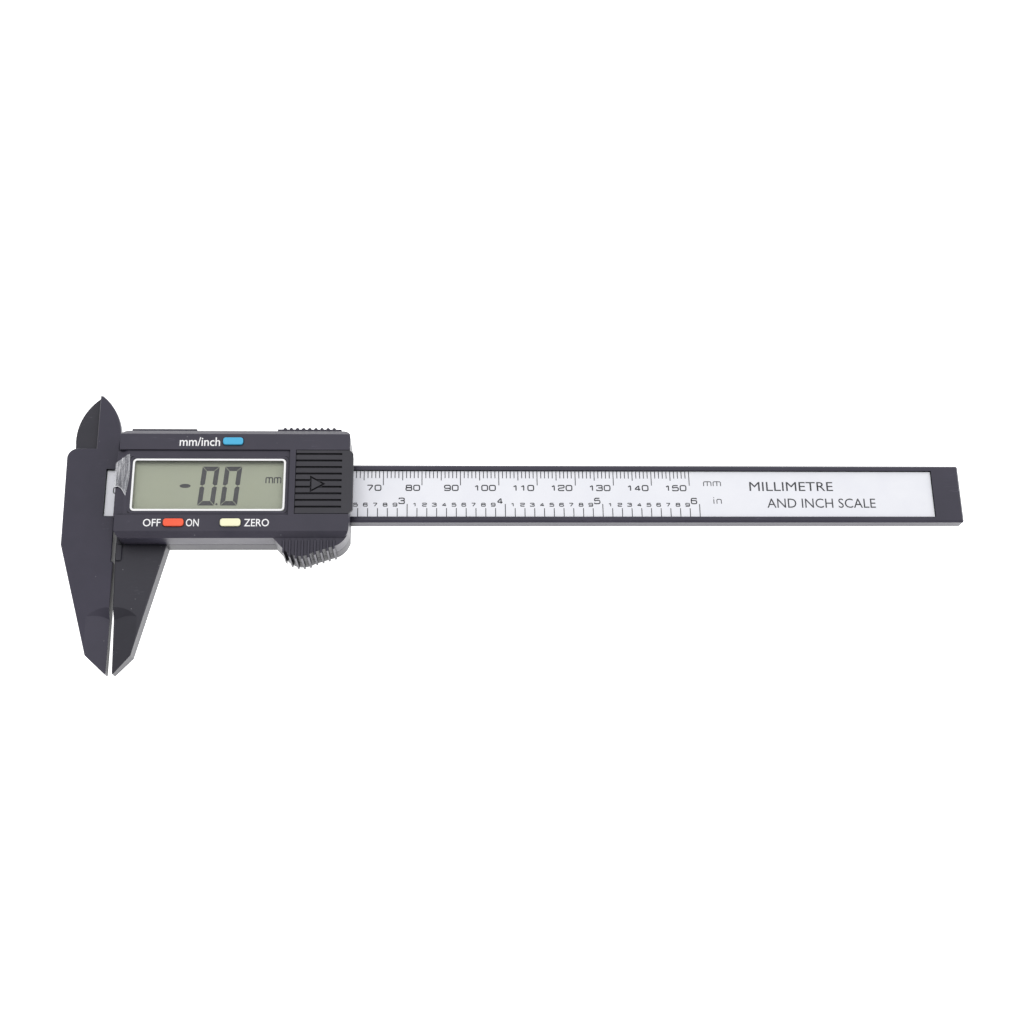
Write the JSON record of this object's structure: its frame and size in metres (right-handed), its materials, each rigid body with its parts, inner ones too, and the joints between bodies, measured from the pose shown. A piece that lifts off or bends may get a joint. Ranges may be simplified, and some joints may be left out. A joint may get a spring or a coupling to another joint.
{
  "type": "digital caliper",
  "caption": "Hand-held sliding caliper with a plastic beam, outside and inside jaws, an electronic slider with a display and push buttons, a printed scale and a depth rod.",
  "frame": {"origin": "middle of the bottom of the closed caliper, lying on its back", "axes": "+X along the beam away from the jaws, +Y towards the inside blades, +Z out of the display"},
  "size_m": [0.2334, 0.0738, 0.0121],
  "materials": {
    "body_plastic": "fine-grained dark blue-grey moulded plastic, slightly glossy on the edges",
    "scale_print": "white printed sheet with black scale",
    "board": "green circuit board laminate",
    "window": "clear moulded lens with a white printed border",
    "film": "thin clear peel-off film",
    "lcd_glass": "polished, with a greenish grey polariser",
    "reflector": "greenish grey reflector foil",
    "elastomer": "soft striped silicone",
    "epoxy": "black potting",
    "can_metal": "tin plated",
    "ceramic": "fired ceramic",
    "button_red": "satin red moulding",
    "button_yellow": "satin pale yellow moulding",
    "button_blue": "satin blue moulding",
    "cell_metal": "bright nickel plated steel",
    "spring_metal": "phosphor bronze strip",
    "rod_plastic": "dark moulded plastic",
    "screw_metal": "zinc plated steel"
  },
  "bodies": {
    "beam": {"beam": "body_plastic", "scale_board": "board", "scale_label": "scale_print"},
    "slider": {"slider_frame": "body_plastic", "front_cover": "body_plastic", "display_window": "window", "protective_film": "film", "lcd_front_glass": "lcd_glass", "lcd_rear_glass": "lcd_glass", "lcd_reflector": "reflector", "zebra_strips": "elastomer", "circuit_board": "board", "chip_blob": "epoxy", "crystal": "can_metal", "capacitors": "ceramic", "key_domes": "can_metal", "battery_cell": "cell_metal", "battery_contact_negative": "spring_metal", "battery_contact_positive": "spring_metal", "gib_spring": "spring_metal", "depth_rod": "rod_plastic", "housing_screws": "screw_metal", "board_screws": "screw_metal", "rod_screw": "screw_metal"},
    "button_power": {"button_power": "button_red"},
    "button_zero": {"button_zero": "button_yellow"},
    "button_unit": {"button_unit": "button_blue"},
    "battery_cover": {"battery_cover": "body_plastic"}
  },
  "joints": [
    {"name": "slider_slide", "type": "slide", "parent": "beam", "child": "slider", "axis": [1, 0, 0], "range_m": [0, 0.15]},
    {"name": "power_press", "type": "slide", "parent": "slider", "child": "button_power", "axis": [0, 0, -1], "range_m": [0, 0.0004], "stiffness_N_per_m": 1500, "springref_m": -0.0002},
    {"name": "zero_press", "type": "slide", "parent": "slider", "child": "button_zero", "axis": [0, 0, -1], "range_m": [0, 0.0004], "stiffness_N_per_m": 1500, "springref_m": -0.0002},
    {"name": "unit_press", "type": "slide", "parent": "slider", "child": "button_unit", "axis": [0, 0, -1], "range_m": [0, 0.0004], "stiffness_N_per_m": 1500, "springref_m": -0.0002},
    {"name": "battery_cover_slide", "type": "slide", "parent": "slider", "child": "battery_cover", "axis": [1, 0, 0], "range_m": [0, 0.015]}
  ]
}
